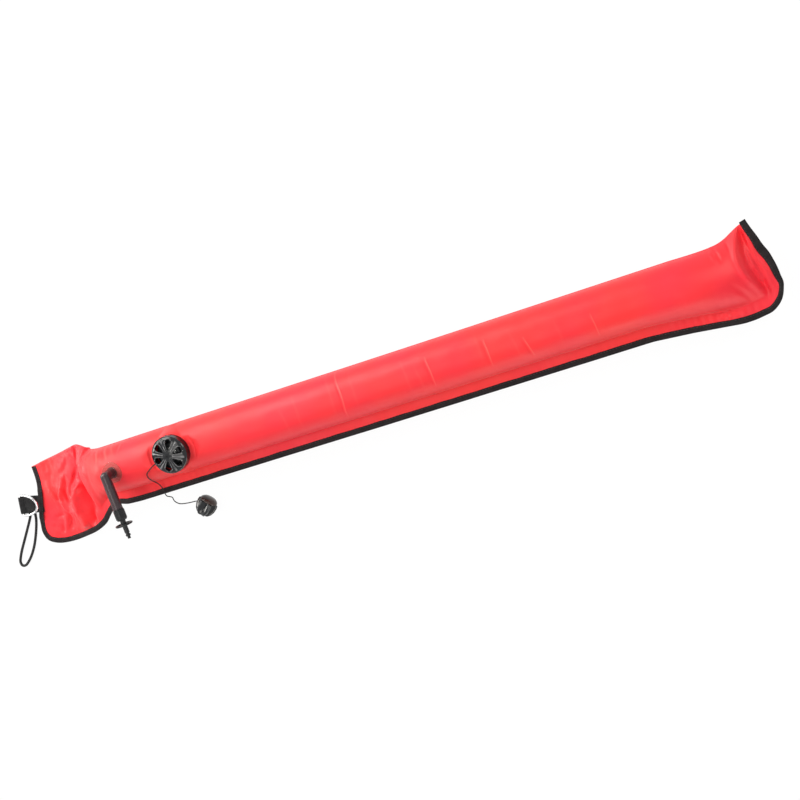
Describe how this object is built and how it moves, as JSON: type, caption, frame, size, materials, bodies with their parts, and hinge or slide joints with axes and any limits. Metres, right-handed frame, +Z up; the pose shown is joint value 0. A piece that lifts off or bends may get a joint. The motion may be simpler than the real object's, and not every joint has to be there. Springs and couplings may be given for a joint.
{
  "type": "surface marker buoy",
  "caption": "Slim inflatable tube marker with a bound edge, a relief valve with a pull cord, an oral inflator with a locking collar, and a tail tab with a D-ring and a bungee loop.",
  "frame": {"origin": "middle of the flat patch on which the inflated tube rests", "axes": "+X along the tube to its closed top end, +Y towards the folded side, +Z up"},
  "size_m": [1.1898, 0.1636, 0.1035],
  "materials": {
    "red_nylon": "satin",
    "binding_tape": "matte",
    "webbing": "matte",
    "bungee": "matte",
    "cord": "matte",
    "chrome": "polished",
    "spring_steel": "bright",
    "black_plastic": "satin",
    "gloss_black": "glossy",
    "black_rubber": "matte",
    "smoky_hose": "translucent"
  },
  "bodies": {
    "buoy": {"envelope": "red_nylon", "edge_binding": "binding_tape", "webbing_tab": "webbing", "bungee_loop": "bungee", "valve_base": "black_plastic", "valve_gasket": "black_rubber", "clamp_ring": "black_plastic", "valve_cap": "gloss_black", "relief_spring": "spring_steel", "inflator_elbow": "smoky_hose", "inflator_housing": "black_plastic", "mouthpiece_spring": "spring_steel"},
    "relief_poppet": {"poppet_plate": "black_plastic", "poppet_seal": "black_rubber"},
    "pull_handle": {"pull_cord": "cord", "knob_body": "gloss_black", "knob_cap": "gloss_black"},
    "mouthpiece": {"mouthpiece": "black_plastic", "inflator_poppet": "black_plastic", "inflator_seal": "black_rubber"},
    "lock_collar": {"lock_collar": "black_plastic"},
    "d_ring": {"d_ring": "chrome"}
  },
  "joints": [
    {"name": "cord_pull", "type": "slide", "parent": "buoy", "child": "pull_handle", "axis": [-0.9703, -0.2419, 0], "range_m": [0, 0.003]},
    {"name": "relief_lift", "type": "slide", "parent": "buoy", "child": "relief_poppet", "axis": [0, 0, 1], "range_m": [0, 0.003], "stiffness_N_per_m": 1500, "springref_m": -0.004, "deforming": ["relief_spring"]},
    {"name": "mouthpiece_press", "type": "slide", "parent": "buoy", "child": "mouthpiece", "axis": [0, 1, 0], "range_m": [0, 0.004], "stiffness_N_per_m": 400, "springref_m": -0.006, "deforming": ["mouthpiece_spring"]},
    {"name": "collar_turn", "type": "hinge", "parent": "buoy", "child": "lock_collar", "pos_m": [-0.3837, -0.0577, 0.091], "axis": [0, -1, 0], "range_deg": [0, 90]},
    {"name": "ring_swing", "type": "hinge", "parent": "buoy", "child": "d_ring", "pos_m": [-0.58376, -0.01327, 0.0061], "axis": [-0.2079, -0.9781, 0], "range_deg": [0, 300]}
  ],
  "couplings": [
    {"joint": "relief_lift", "follows": "cord_pull", "ratio": 1}
  ]
}
